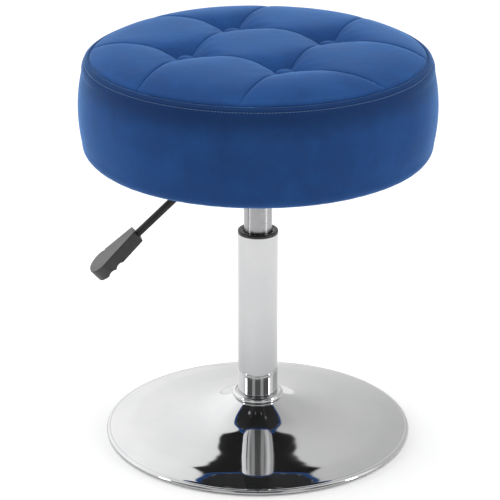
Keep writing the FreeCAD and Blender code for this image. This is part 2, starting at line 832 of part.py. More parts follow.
washer_foot = plate_foot - dim.boltWasherWall
nut_barrel_foot = board_top - dim.nutBarrelHeight
nut_flange_foot = board_top - dim.nutFlangeWall
nut_radius = dim.boltRadius + dim.nutWall
flange_radius = nut_radius + dim.nutFlangeReach
bolt_length = board_top - dim.boltTipDepth - washer_foot
bolts = []
washers = []
nuts = []
board_holes = []
cover_holes = []
for index, x, y in bolt_spots():
    head = doc.addObject("Part::Prism", f"bolt_head_{index}")
    head.Polygon = 6
    bind(head, "Circumradius", dim.boltHeadFlats / math.sqrt(3))
    bind(head, "Height", dim.boltHeadHeight)
    place(head, (x, y, washer_foot - dim.boltHeadHeight), about_z(index * BOLT_TURN))
    shank = cylinder(f"bolt_shank_{index}", dim.boltRadius, bolt_length, (x, y, washer_foot))
    bolts.append(fused(f"mount_bolt_{index}", [head, shank]))
    disc = cylinder(f"washer_disc_{index}", dim.boltRadius + dim.boltWasherReach, dim.boltWasherWall,
                    (x, y, washer_foot))
    bore = drill(f"washer_bore_{index}", dim.boltRadius + dim.looseGap, washer_foot, plate_foot, x, y)
    washers.append(cut(f"mount_washer_{index}", disc, [bore]))
    barrel = cylinder(f"nut_barrel_{index}", nut_radius, dim.nutBarrelHeight, (x, y, nut_barrel_foot))
    flange = cylinder(f"nut_flange_{index}", flange_radius, dim.nutFlangeWall, (x, y, nut_flange_foot))
    thread = drill(f"nut_thread_{index}", dim.boltRadius + dim.runningFit, nut_barrel_foot, board_top, x, y)
    nuts.append(cut(f"t_nut_{index}", fused(f"nut_blank_{index}", [barrel, flange]), [thread]))
    board_holes.append(drill(f"board_nut_hole_{index}", nut_radius + dim.slipGap,
                             board_foot, board_top, x, y))
    board_holes.append(drill(f"board_flange_seat_{index}", flange_radius + dim.slipGap,
                             nut_flange_foot + CUT_MARGIN, board_top, x, y))
    cover_holes.append(drill(f"cover_bolt_hole_{index}", plate_hole, dust_cover_foot, seat_bottom, x, y))
keep("mount_bolts", group("mount_bolts", bolts))
keep("mount_washers", group("mount_washers", washers))
keep("t_nuts", group("t_nuts", nuts))


# Lever, modelled along X and then turned to its direction
def lever_rod():
    """A round rod with one bend, and a cross hole for the pivot pin."""
    bend_reach = dim.leverBend * tangent(dim.leverDrop / 2)
    slope_x = cosine(dim.leverDrop)
    slope_z = sine(dim.leverDrop)
    end = dim.leverSlope + dim.gripBore
    body = new_body("lever_rod_bar")
    path = outline_sketch(body, "lever_path", "XZ_Plane", [
        (-dim.leverInnerEnd, lever_height),
        (dim.leverCorner - bend_reach, lever_height, dim.leverBend),
        (dim.leverCorner + bend_reach * slope_x, lever_height - bend_reach * slope_z),
        (dim.leverCorner + end * slope_x, lever_height - end * slope_z),
    ], closed=False)
    section = circle_sketch(body, "lever_section", "YZ_Plane", [(0, lever_height, dim.leverRodRadius)])
    section.setExpression("AttachmentOffset.Base.z", (-dim.leverInnerEnd).text)
    doc.recompute()
    bar = body.newObject("PartDesign::AdditivePipe", "lever_bar")
    bar.Profile = section
    bar.Spine = path
    doc.recompute()
    pin_circle = circle_sketch(body, "lever_pin_circle", "XZ_Plane",
                               [(dim.leverPivot, lever_height, dim.pivotPinRadius + dim.runningFit)])
    pocket(body, "lever_pin_hole", pin_circle)
    return lever_frame(body)


def lever_grip():
    """A flat paddle that widens to a round end, with a notch and two finger scallops below."""
    half = dim.leverRodRadius + dim.gripWall
    neck_half = dim.leverRodRadius + dim.gripNeckWall
    tip_start = dim.gripLength - dim.gripTipReach
    body = padded_body("lever_grip_paddle", "XY_Plane", [
        (0, -neck_half),
        (tip_start, -dim.gripTipHalf, -dim.gripTipArc),
        (dim.gripLength, 0, -dim.gripTipArc),
        (tip_start, dim.gripTipHalf),
        (0, neck_half),
    ], half * 2, -half)

    def on_face_rim(edge):
        bounds = edge.BoundBox
        return bounds.ZLength < 0.001 and abs(abs(bounds.ZMax) - half.number) < 0.001

    fillet_edges(body, "grip_corners", dim.gripCorner, is_upright)
    fillet_edges(body, "grip_edges", dim.gripEdge, on_face_rim)
    notch_side = neck_half + (dim.gripTipHalf - neck_half) * dim.gripNotch / tip_start
    notch_reach = notch_side + dim.gripNotchRadius - dim.gripNotchDepth
    notch = circle_sketch(body, "grip_notch_circle", "XY_Plane",
                          [(dim.gripNotch, -notch_reach, dim.gripNotchRadius)])
    doc.recompute()
    pocket(body, "grip_notch", notch)
    scallop_height = -(half + dim.scallopRadius - dim.scallopDepth)
    scallops = circle_sketch(body, "grip_scallop_circles", "XZ_Plane", [
        (dim.scallopFirst + dim.scallopPitch * step, scallop_height, dim.scallopRadius)
        for step in range(SCALLOPS)])
    pocket(body, "grip_scallops", scallops)
    bore = circle_sketch(body, "grip_bore_circle", "YZ_Plane", [(0, 0, dim.leverRodRadius)])
    doc.recompute()
    bore_cut = body.newObject("PartDesign::Pocket", "grip_bore")
    bore_cut.Profile = bore
    bore_cut.Reversed = True
    bind(bore_cut, "Length", dim.gripBore + dim.looseGap)
    doc.recompute()
    grip_x, grip_y = at_lever(dim.leverCorner + dim.leverSlope * cosine(dim.leverDrop), as_size(0))
    tilt = lever_turn.multiply(Rotation(Vector(0, 1, 0), dim.leverDrop.number))
    return place(body, (grip_x, grip_y, lever_height - dim.leverSlope * sine(dim.leverDrop)), tilt)


keep("lever_rod", lever_rod())
keep("lever_grip", lever_grip())


# Seat
def crown_outline(inset):
    """The top of the cushion from the seam inwards, without its pillows."""
    seam = seam_radius - inset
    shoulder = seam_radius - dim.crownShoulderInset - inset / 2
    return [
        (seam, seam_height, -dim.crownShoulderArc),
        (shoulder, seam_height + dim.crownShoulderRise - inset,
         -dome_arc(shoulder, dim.crownRise - dim.crownShoulderRise)),
        (0, seam_height + dim.crownRise - inset),
    ]


def side_outline(inset):
    """The drawn-in side of the cushion from its foot up to the seam."""
    shoulder_radius = dim.seatRadius - dim.seatShoulderInset
    return [
        (seat_foot_radius, seat_bottom + inset, -(dim.seatRollArc - inset)),
        (dim.seatRadius - inset, seat_bottom + dim.seatRollRise, -(dim.seatSideArc - inset)),
        (shoulder_radius - inset, seam_height - dim.seatShoulderDrop, -(dim.seatShoulderArc - inset)),
    ]


def pillow_form(name, outline, inset):
    """An outline turned, crowned with nine pillows and sunk at the four buttons."""
    envelope = turned(f"{name}_envelope", outline)
    radius = dim.pillowRadius - inset
    centre_height = seam_height + dim.crownRise - dim.pillowRadius
    spots = [(as_size(0), as_size(0))]
    for reach, first in ((dim.buttonSpacing, dim.buttonAngle + 45), (button_ring * 2, dim.buttonAngle)):
        for step in range(BUTTONS):
            angle = first + FULL_TURN * step / BUTTONS
            spots.append((reach * cosine(angle), reach * sine(angle)))
    domes = []
    for index, (x, y) in enumerate(spots):
        dome = doc.addObject("Part::Sphere", f"{name}_pillow_{index}")
        bind(dome, "Radius", radius)
        domes.append(place(dome, (x, y, centre_height), about_z(PILLOW_TURN * (index + 1))))
    slab = cylinder(f"{name}_slab", widest_seat, seam_height + dim.pillowSlab - inset, (0, 0, 0))
    layers = []
    for index, form in enumerate(domes + [slab]):
        layer = doc.addObject("Part::Common", f"{name}_layer_{index}")
        layer.Base = envelope
        layer.Tool = form
        layers.append(layer)
    puffed = fused(f"{name}_puffed", layers)
    floor = pit_floor - inset
    mouth = seam_height + dim.crownRise
    top = mouth + CUT_MARGIN
    pits = []
    for index, x, y in button_spots():
        pit = turned(f"{name}_pit_{index}", [
            (0, floor),
            (dim.pitRadius + inset, floor, dim.pitArc - inset),
            (dim.pitMouth + inset, mouth),
            (dim.pitMouth + inset, top),
            (0, top),
        ])
        pits.append(place(pit, (x, y, 0)))
    return cut(f"{name}_sunk", puffed, pits)


def button_spots():
    """The X and Y of the four buttons."""
    for index in range(BUTTONS):
        angle = dim.buttonAngle + FULL_TURN * index / BUTTONS
        yield index, button_ring * cosine(angle), button_ring * sine(angle)


def top_panel():
    """The velvet of the top, one cover thick."""
    depth = seam_height - dim.coverHem
    cap = crown_outline(as_size(0)) + [(0, depth), (seam_radius, depth)]
    outer = pillow_form("cover_top", cap, as_size(0))
    below = depth - CUT_MARGIN
    under = crown_outline(dim.coverWall) + [(0, below), (widest_seat, below), (widest_seat, seam_height)]
    inner = pillow_form("cover_under", under, dim.coverWall)
    twine_holes = [drill(f"panel_twine_hole_{index}", dim.twineRadius + dim.slipGap,
                         pit_floor - dim.coverHem, pit_floor, x, y) for index, x, y in button_spots()]
    return cut("top_panel", outer, [inner] + twine_holes)


def side_band():
    """The velvet of the side, from the seam down and round under the board."""
    hem = seat_foot_radius - dim.coverHem
    wall = dim.coverWall
    shoulder_radius = dim.seatRadius - dim.seatShoulderInset
    outer = side_outline(as_size(0)) + [(seam_radius, seam_height)]
    inner = [
        (seam_radius - wall, seam_height, dim.seatShoulderArc - wall),
        (shoulder_radius - wall, seam_height - dim.seatShoulderDrop, dim.seatSideArc - wall),
        (dim.seatRadius - wall, seat_bottom + dim.seatRollRise, dim.seatRollArc - wall),
        (seat_foot_radius, board_foot),
        (hem, board_foot),
    ]
    return turned("side_band", [(hem, seat_bottom)] + outer + inner)


def foam_pad():
    """The foam, with its crown, pillows and pits, over and around the board."""
    inset = dim.coverWall + dim.looseGap
    recess = board_radius + dim.looseGap
    sides = side_outline(inset)
    outline = crown_outline(inset) + [
        (0, board_top + dim.looseGap),
        (recess, board_top + dim.looseGap),
        (recess, seat_bottom + inset),
    ] + sides
    body = pillow_form("foam", outline, inset)
    holes = [drill(f"foam_twine_hole_{index}", dim.twineRadius + dim.looseGap,
                   board_foot, pit_floor, x, y) for index, x, y in button_spots()]
    return cut("foam_pad", body, holes)


for index, x, y in button_spots():
    board_holes.append(drill(f"board_twine_hole_{index}", dim.twineRadius + dim.looseGap,
                             board_foot, board_top, x, y))
board_disc = cylinder("board_disc", board_radius, dim.boardWall, (0, 0, board_foot))
keep("seat_board", cut("seat_board", board_disc, board_holes))
keep("foam_pad", foam_pad())
keep("top_panel", top_panel())
keep("side_band", side_band())
cover_disc = cylinder("cover_disc", dust_cover_radius, dim.dustCoverWall, (0, 0, dust_cover_foot))
keep("dust_cover", cut("dust_cover", cover_disc, cover_holes))

button_foot = pit_floor + dim.looseGap
toggle_foot = board_foot - dim.toggleWall - dim.slipGap
buttons = []
twines = []
toggles = []
for index, x, y in button_spots():
    button = turned(f"tuft_button_{index}", [
        (0, button_foot),
        (dim.buttonRadius - dim.looseGap, button_foot),
        (dim.buttonRadius, button_foot + dim.buttonEdge,
         -dome_arc(dim.buttonRadius, dim.buttonHeight - dim.buttonEdge)),
        (0, button_foot + dim.buttonHeight),
    ])
    buttons.append(place(button, (x, y, 0)))
    twines.append(cylinder(f"tuft_twine_{index}", dim.twineRadius, button_foot - board_foot,
                           (x, y, board_foot)))
    toggles.append(cylinder(f"twine_toggle_{index}", dim.toggleRadius, dim.toggleWall,
                            (x, y, toggle_foot)))
keep("tuft_buttons", group("tuft_buttons", buttons))
keep("tuft_twines", group("tuft_twines", twines))
keep("twine_toggles", group("twine_toggles", toggles))

staples = []
for index, angle, x, y in ring_spots(STAPLES, staple_ring, dim.buttonAngle.number):
    turn = about_z(angle + 90)
    corner = turn.multVec(Vector(-dim.stapleLength.number / 2, -dim.stapleWidth.number / 2, 0))
    staples.append(box(f"staple_{index}", dim.stapleLength, dim.stapleWidth, dim.stapleWall,
                       (x + corner.x, y + corner.y, dust_cover_foot - dim.stapleWall), turn))
keep("cover_staples", group("cover_staples", staples))


def check_document():
    """Stops where a feature failed or a sub-part has no valid shape."""
    for feature in doc.Objects:
        if "Invalid" in feature.State or "Error" in feature.State:
            raise RuntimeError(f"{feature.Name} failed: {feature.State}")
    for name, feature in nodes.items():
        if feature.Shape.isNull() or not feature.Shape.isValid():
            raise RuntimeError(f"{name} has no valid shape")


doc.recompute()
check_document()
os.makedirs("parts", exist_ok=True)
for name, feature in nodes.items():
    feature.Shape.exportStep(os.path.join("parts", f"{name}.step"))
    print(name, len(feature.Shape.Solids), round(feature.Shape.Volume, 1))
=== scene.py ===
import math
import bpy
import numpy as np
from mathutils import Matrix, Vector
from mathutils.geometry import delaunay_2d_cdt
from mathutils.kdtree import KDTree


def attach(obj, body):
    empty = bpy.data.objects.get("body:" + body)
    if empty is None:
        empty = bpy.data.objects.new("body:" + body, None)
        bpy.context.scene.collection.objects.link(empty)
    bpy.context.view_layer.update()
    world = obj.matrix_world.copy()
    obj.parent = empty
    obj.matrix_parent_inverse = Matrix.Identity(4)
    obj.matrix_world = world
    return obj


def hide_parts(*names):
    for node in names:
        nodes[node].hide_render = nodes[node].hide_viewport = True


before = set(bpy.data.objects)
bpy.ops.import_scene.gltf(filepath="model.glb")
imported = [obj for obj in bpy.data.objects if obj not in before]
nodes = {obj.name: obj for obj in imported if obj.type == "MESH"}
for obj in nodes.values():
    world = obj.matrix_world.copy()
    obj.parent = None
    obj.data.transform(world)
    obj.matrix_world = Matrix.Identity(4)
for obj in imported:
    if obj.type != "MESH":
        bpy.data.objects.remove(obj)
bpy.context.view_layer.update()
scene = bpy.context.scene
MM = 0.001

# ---------------------------------------------------------------- camera
# fitted to the outlines of the seat, the column and the base
PITCH = math.radians(21.4845)
DISTANCE = 2.95
target = Vector((-0.00987, 0.0, 0.2442))
back = Vector((0.0, -math.cos(PITCH), math.sin(PITCH)))
camera = bpy.data.objects.new("photo_camera", bpy.data.cameras.new("photo_camera"))
camera.data.sensor_width = 36.0
camera.data.lens = 170.91
camera.location = target + DISTANCE * back
camera.rotation_euler = (-back).to_track_quat("-Z", "Y").to_euler()
scene.collection.objects.link(camera)
scene.camera = camera


# ---------------------------------------------------------------- node helpers
class Tree:
    """Short names for making shader nodes."""

    def __init__(self, tree):
        self.tree = tree

    def node(self, kind, inputs=(), **settings):
        n = self.tree.nodes.new(kind)
        for k, v in settings.items():
            setattr(n, k, v)
        for k, v in dict(inputs).items():
            self.put(n.inputs[k], v)
        return n

    def put(self, socket, value):
        if hasattr(value, "is_output"):
            self.tree.links.new(value, socket)
        else:
            socket.default_value = value

    def math(self, op, a, b=None):
        n = self.node("ShaderNodeMath", operation=op)
        for i, v in enumerate((a, b)):
            if v is not None:
                self.put(n.inputs[i], v)
        return n.outputs[0]

    def ramp(self, value, low, high, out_low=0.0, out_high=1.0):
        """From out_low to out_high, smoothly, as value goes from low to high."""
        n = self.node("ShaderNodeMapRange", interpolation_type="SMOOTHSTEP")
        for i, v in enumerate((value, low, high, out_low, out_high)):
            self.put(n.inputs[i], v)
        return n.outputs[0]

    def noise(self, vector, scale, detail=2.0, roughness=0.5, distortion=0.0):
        n = self.node("ShaderNodeTexNoise", {
            "Vector": vector, "Scale": scale, "Detail": detail,
            "Roughness": roughness, "Distortion": distortion})
        return n.outputs["Fac"]

    def mix(self, factor, a, b):
        n = self.node("ShaderNodeMix", data_type="RGBA")
        self.put(n.inputs[0], factor)
        self.put(n.inputs[6], a)
        self.put(n.inputs[7], b)
        return n.outputs[2]

    def bump(self, height, distance, strength=1.0, normal=None):
        n = self.node("ShaderNodeBump", {
            "Height": height, "Distance": distance, "Strength": strength})
        if normal is not None:
            self.put(n.inputs["Normal"], normal)
        return n.outputs["Normal"]


def rgb(r, g, b):
    """Linear colour from 0-255 screen values."""
    return tuple((c / 255 / 12.92) if c <= 10 else ((c / 255 + 0.055) / 1.055) ** 2.4
                 for c in (r, g, b)) + (1.0,)


def material(name, **sockets):
    """A new material, its node tree, its shader, and the place on the object as a node output."""
    m = bpy.data.materials.new(name)
    m.use_nodes = True
    t = Tree(m.node_tree)
    shader = m.node_tree.nodes["Principled BSDF"]
    for k, v in sockets.items():
        shader.inputs[k.replace("_", " ")].default_value = v
    place = t.node("ShaderNodeTexCoord").outputs["Object"]
    return m, t, shader, place


def parts_of(t, place):
    """x, y, z and the distance from the upright axis, in metres."""
    s = t.node("ShaderNodeSeparateXYZ", {0: place})
    x, y, z = s.outputs
    r = t.math("SQRT", t.math("ADD", t.math("MULTIPLY", x, x), t.math("MULTIPLY", y, y)))
    return x, y, z, r


# ---------------------------------------------------------------- materials
PLY = 0.005                              # thickness of a pair of plies, in metres


def velvet():
    """Short pile: a soft sheen, tone that drifts with the nap, a fine rough surface, and painted shade in the
    stitched band.
    """
    m, t, s, p = material(
        "velvet", Sheen_Weight=1.0, Sheen_Roughness=0.30, Sheen_Tint=(0.26, 0.50, 0.95, 1.0),
        Specular_IOR_Level=0.12)
    nap = t.noise(p, 9.0, 3.0, 0.55)
    patch = t.noise(p, 38.0, 4.0, 0.6, 0.4)
    pile = t.noise(p, 1500.0, 2.0, 0.6)
    tone = t.math("ADD", t.math("MULTIPLY", nap, 0.5), t.math("MULTIPLY", patch, 0.5))
    base = t.mix(t.ramp(tone, 0.35, 0.65), rgb(32, 70, 126), rgb(40, 82, 142))
    base = t.mix(t.ramp(pile, 0.30, 0.75, 0.0, 0.45), base, rgb(24, 50, 98))
    # painted shade: the stitched band under the seam is darkened, and the darkening fades out down the side
    _, _, z, r = parts_of(t, p)
    band = t.math("MULTIPLY", t.ramp(z, 0.452, 0.488), t.ramp(r, 0.2015, 0.2040))
    base = t.mix(t.math("MULTIPLY", band, 0.55), base, rgb(16, 32, 66))
    t.put(s.inputs["Base Color"], base)
    t.put(s.inputs["Roughness"], t.ramp(patch, 0.3, 0.7, 0.78, 0.95))
    n = t.bump(t.noise(p, 900.0, 3.0, 0.65), 0.00035, 0.55)
    n = t.bump(t.noise(p, 70.0, 3.0, 0.5), 0.0012, 0.20, n)
    t.put(s.inputs["Normal"], n)
    return m


def chrome():
    """Plated steel with a slow haze, fine specks and the faint rings that spinning leaves."""
    m, t, s, p = material("chrome", Metallic=1.0)
    r = parts_of(t, p)[3]
    haze = t.noise(p, 14.0, 4.0, 0.55)
    spots = t.noise(p, 420.0, 2.0, 0.5)
    spin = t.noise(t.node("ShaderNodeCombineXYZ", {0: t.math("MULTIPLY", r, 900.0)}).outputs[0],
                   1.0, 2.0, 0.5)
    t.put(s.inputs["Base Color"], t.mix(t.ramp(haze, 0.3, 0.7),
                                        (0.62, 0.625, 0.63, 1), (0.66, 0.66, 0.665, 1)))
    rough = t.math("ADD", t.ramp(haze, 0.35, 0.75, 0.035, 0.075), t.ramp(spots, 0.62, 0.8, 0.0, 0.03))
    t.put(s.inputs["Roughness"], rough)
    t.put(s.inputs["Normal"], t.bump(spin, 0.000004, 0.5))
    return m


def brushed(name, colour, rough, across=1.0, along=60.0, depth=0.00002, ground=0.0):
    """Metal with fine lines round the upright axis, close together up it (along) and long (across).

    A ground tube blurs what it reflects up and down more than sideways, by the amount ground.
    """
    m, t, s, p = material(name, Metallic=1.0, Anisotropic=ground,
                          Anisotropic_Rotation=0.25 if ground else 0.0)
    if ground:
        tangent = t.node("ShaderNodeTangent", direction_type="RADIAL", axis="Z")
        t.put(s.inputs["Tangent"], tangent.outputs[0])
    stretched = t.node("ShaderNodeMapping", {"Vector": p, "Scale": (across, across, along)}).outputs[0]
    lines = t.noise(stretched, 60.0, 3.0, 0.6)
    haze = t.noise(p, 30.0, 3.0, 0.5)
    dark = tuple(c * 0.8 for c in colour[:3]) + (1.0,)
    t.put(s.inputs["Base Color"], t.mix(t.ramp(lines, 0.3, 0.7), dark, colour))
    t.put(s.inputs["Roughness"], t.math("ADD", t.ramp(lines, 0.3, 0.7, rough * 0.8, rough * 1.15),
                                        t.ramp(haze, 0.4, 0.8, 0.0, 0.08)))
    t.put(s.inputs["Normal"], t.bump(lines, depth, 0.6))
    return m


def coated(name, low, high, rough, grain=900.0, depth=0.00006, level=0.5, coat=0.0):
    """Moulded or powder-coated surface: a fine even grain, with paler wear in slow patches."""
    m, t, s, p = material(name, Specular_IOR_Level=level, Coat_Weight=coat, Coat_Roughness=0.25)
    fine = t.noise(p, grain, 2.0, 0.6)
    slow = t.noise(p, 45.0, 4.0, 0.6)
    t.put(s.inputs["Base Color"], t.mix(t.ramp(slow, 0.35, 0.75), low, high))
    t.put(s.inputs["Roughness"], t.math("ADD", t.ramp(slow, 0.3, 0.8, rough, rough + 0.10),
                                        t.ramp(fine, 0.4, 0.8, 0.0, 0.06)))
    t.put(s.inputs["Normal"], t.bump(fine, depth, 0.5))
    return m


def plywood():
    """Long grain, with the plies showing at the board's edge."""
    m, t, s, p = material("plywood", Specular_IOR_Level=0.3)
    z = parts_of(t, p)[2]
    grain = t.noise(t.node("ShaderNodeMapping", {"Vector": p, "Scale": (4.0, 60.0, 60.0)}).outputs[0],
                    6.0, 5.0, 0.6, 0.6)
    plies = t.math("FRACT", t.math("MULTIPLY", z, 1.0 / PLY))
    ply = t.ramp(t.math("ABSOLUTE", t.math("SUBTRACT", plies, 0.5)), 0.20, 0.30)
    wood = t.mix(t.ramp(grain, 0.3, 0.7), rgb(176, 134, 88), rgb(214, 178, 130))
    t.put(s.inputs["Base Color"], t.mix(t.math("MULTIPLY", ply, 0.35), wood, rgb(140, 98, 60)))
    t.put(s.inputs["Roughness"], t.ramp(grain, 0.3, 0.7, 0.65, 0.8))
    t.put(s.inputs["Normal"], t.bump(grain, 0.00015, 0.6))
    return m


def nonwoven():
    """Spunbonded cloth: matted fibres with the small dots where they are pressed together."""
    m, t, s, p = material("black_cloth", Specular_IOR_Level=0.2, Sheen_Weight=0.3, Sheen_Roughness=0.5)
    fibre = t.noise(p, 650.0, 4.0, 0.7, 1.2)
    dots = t.node("ShaderNodeTexVoronoi", {
        "Vector": p, "Scale": 450.0, "Randomness": 0.25}).outputs["Distance"]
    t.put(s.inputs["Base Color"], t.mix(t.ramp(fibre, 0.3, 0.7), rgb(22, 22, 23), rgb(44, 44, 46)))
    t.put(s.inputs["Roughness"], t.ramp(fibre, 0.3, 0.7, 0.75, 0.95))
    n = t.bump(fibre, 0.00015, 0.6)
    t.put(s.inputs["Normal"], t.bump(t.ramp(dots, 0.1, 0.35), 0.00012, 0.6, n))
    return m


def twine():
    """Laid strands in pale yarn."""
    m, t, s, p = material("twine", Specular_IOR_Level=0.3)
    x, _, z, _ = parts_of(t, p)
    lay = t.math("SINE", t.math("ADD", t.math("MULTIPLY", z, 3500.0), t.math("MULTIPLY", x, 3000.0)))
    fibre = t.noise(p, 1800.0, 2.0, 0.6)
    t.put(s.inputs["Base Color"], t.mix(fibre, rgb(196, 188, 164), rgb(226, 220, 200)))
    t.put(s.inputs["Roughness"], t.ramp(fibre, 0.3, 0.7, 0.7, 0.9))
    t.put(s.inputs["Normal"], t.bump(lay, 0.0002, 0.7))
    return m


def thread():
    """Sewing thread, a little paler than the velvet."""
    m, t, s, p = material("stitch_thread", Specular_IOR_Level=0.35, Sheen_Weight=0.4)
    fibre = t.noise(p, 3000.0, 2.0, 0.6)
    t.put(s.inputs["Base Color"], t.mix(fibre, rgb(96, 132, 190), rgb(130, 164, 214)))
    t.put(s.inputs["Roughness"], t.ramp(fibre, 0.3, 0.7, 0.55, 0.75))
    t.put(s.inputs["Normal"], t.bump(fibre, 0.00008, 0.6))
    return m


MATERIALS = {
    "velvet": velvet(),
    "chrome": chrome(),
    "satin_steel": brushed("satin_steel", (0.49, 0.49, 0.50, 1), 0.24, 0.12, 60.0, 0.000002, 0.9),
    "plain_steel": brushed("plain_steel", (0.60, 0.60, 0.62, 1), 0.32),
    "black_steel": coated("black_steel", rgb(26, 26, 27), rgb(38, 38, 39), 0.42, 1400.0, 0.00004),
    "black_plastic": coated("black_plastic", rgb(30, 30, 31), rgb(40, 40, 41), 0.22),
    "grip_plastic": coated("grip_plastic", rgb(44, 44, 45), rgb(56, 56, 57), 0.36, 1100.0, 0.00004,
                           0.6, 0.12),
    "white_plastic": coated("white_plastic", rgb(214, 213, 208), rgb(228, 227, 222), 0.38),
    "black_rubber": coated("black_rubber", rgb(24, 24, 24), rgb(36, 36, 35), 0.72, 600.0, 0.00008, 0.3),
    "plywood": plywood(),
    "black_cloth": nonwoven(),
    "twine": twine(),
    "thread": thread(),
}
for o in nodes.values():
    for i, m in enumerate(o.data.materials):
        o.data.materials[i] = MATERIALS.get(m.name.split(".")[0], MATERIALS["velvet"])


# ---------------------------------------------------------------- mesh helpers
def add_mesh(name, verts, faces, slot, body, mat=None):
    """A new piece from points in millimetres, riding on body, with the finish of mat or else of slot."""
    me = bpy.data.meshes.new(name)
    me.from_pydata([tuple(v) for v in np.asarray(verts, float) * MM], [],
                   [tuple(int(i) for i in f) for f in faces])
    me.validate()
    me.polygons.foreach_set("use_smooth", [True] * len(me.polygons))
    me.materials.append(MATERIALS[mat or slot])
    me.update()
    o = bpy.data.objects.new(name, me)
    scene.collection.objects.link(o)
    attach(o, body)
    return o


def arc(a, b, radius, count):
    """Points (r, z) on an arc from a to b, whose centre is to the right of the way from a to b."""
    a, b = np.array(a, float), np.array(b, float)
    mid, d = (a + b) / 2, b - a
    half = np.hypot(*d) / 2
    n = np.array([d[1], -d[0]]) / (2 * half)
    centre = mid + n * math.sqrt(radius ** 2 - half ** 2)
    t0 = math.atan2(*(a - centre)[::-1])
    t1 = math.atan2(*(b - centre)[::-1])
    while t1 - t0 > math.pi:
        t1 -= 2 * math.pi
    while t0 - t1 > math.pi:
        t1 += 2 * math.pi
    t = np.linspace(t0, t1, count)
    return centre + radius * np.stack([np.cos(t), np.sin(t)], 1)


def smooth(x, low, high):
    """0 below low, 1 above high, and a smooth step between."""
    t = np.clip((x - low) / (high - low), 0, 1)
    return t * t * (3 - 2 * t)


def waves(angle, parts):
    """A sum of fixed cosines round the seat: (lobes, amount, phase)."""
    return sum(a * np.cos(k * angle + p) for k, a, p in parts)


# ---------------------------------------------------------------- seat cushion
SEAM_R, SEAM_Z = 203.0, 497.0
CROWN = 514.5                            # height of the middle of the top
BOARD_TOP = 391.4                        # where the pad rests
SPREAD = 64.5                            # the buttons are at (+-SPREAD, +-SPREAD) in the creases' frame
TURN = math.radians(65)                  # which is turned by this
TURN_COS, TURN_SIN = math.cos(TURN), math.sin(TURN)
BUTTONS = [(a * TURN_COS - b * TURN_SIN, a * TURN_SIN + b * TURN_COS)
           for a, b in ((SPREAD, SPREAD), (-SPREAD, SPREAD), (-SPREAD, -SPREAD), (SPREAD, -SPREAD))]
PIT_DEPTH = 21.2
STITCH = 9.0                             # from the seam to the row of topstitching, along the cloth
STITCHES = 325


def to_uv(x, y):
    """A place in the creases' frame."""
    return x * TURN_COS + y * TURN_SIN, -x * TURN_SIN + y * TURN_COS


def crown(r):
    """The top's height at a distance from the middle, without pits or folds."""
    return CROWN - 1.2 * (r / SEAM_R) ** 2 - 16.3 * (r / SEAM_R) ** 9


def top_form(x, y):
    """The top's height without its folds: crown and the four pits."""
    r = np.hypot(x, y)
    z = crown(r)
    near = np.full_like(z, 1e9)
    for bx, by in BUTTONS:
        du, dv = to_uv(x - bx, y - by)
        q = np.hypot(du, dv) + 1e-9
        along = (du * du - dv * dv) ** 2 / q ** 4
        width = 20.0 + 7.0 * along ** 2            # a pit is drawn out along its creases
        z = z - PIT_DEPTH * np.exp(-(q / width) ** 1.5)
        near = np.minimum(near, q)
    return z, near, r


def top_folds(x, y, near, r):
    """The creases from button to button and on to the seam."""
    u, v = to_uv(x, y)
    a, b = np.abs(np.abs(u) - SPREAD), np.abs(np.abs(v) - SPREAD)
    fade = (1 - np.exp(-(near / 15) ** 2)) * (1 - 0.55 * smooth(r, 186, 203))
    fine = np.exp(-a / 1.0) + np.exp(-b / 1.0)
    soft = np.exp(-(a / 6.0) ** 1.3) + np.exp(-(b / 6.0) ** 1.3)
    return -fade * (1.7 * fine + 1.0 * soft)


def axis_points(limit, step):
    """Places along one axis, close together beside the two creases."""
    off = [0, .45, .9, 1.4, 2.0, 2.8, 3.8, 5.0, 6.5, 8.4]
    near = sorted({s * SPREAD + d * e for s in (-1, 1) for d in off for e in (-1, 1)})
    out = []
    half = len(near) // 2
    for lo, hi in ((-limit, near[0]), (near[half - 1], near[half]), (near[-1], limit)):
        n = max(1, int(math.ceil((hi - lo) / step)))
        out += list(np.linspace(lo, hi, n + 1)[1:-1])
    return np.array(sorted(out + near))


def crossings(r):
    """Angles where the creases cross a ring of radius r."""
    cross = math.asin(SPREAD / r)
    return sorted({(k * math.pi / 2 + s * cross) % (2 * math.pi) for k in range(4) for s in (-1, 1)})


def ring_angles(r, columns):
    """The columns' angles at radius r, drawn along with the places where the creases cross it."""
    now, ref = (np.array([k[-1] - 2 * math.pi] + k + [k[0] + 2 * math.pi])
                for k in (crossings(r), crossings(SEAM_R)))
    return np.interp(columns, ref, now)


def seat_columns():
    """Angles of the columns of points round the seat, close together where a crease meets the seam."""
    step = 2 * math.pi / 620
    cross = math.asin(SPREAD / SEAM_R)
    off = np.array([0, .5, 1.0, 1.6, 2.3, 3.2, 4.4, 6.0, 8.0]) / SEAM_R
    dense = sorted({(k * math.pi / 2 + s * cross + e * d) % (2 * math.pi)
                    for k in range(4) for s in (-1, 1) for d in off for e in (-1, 1)})
    plain = [a for a in np.arange(0, 2 * math.pi, step)
             if min(abs((a - d + math.pi) % (2 * math.pi) - math.pi) for d in dense) > step * 0.55]
    return np.array(sorted(dense + plain))


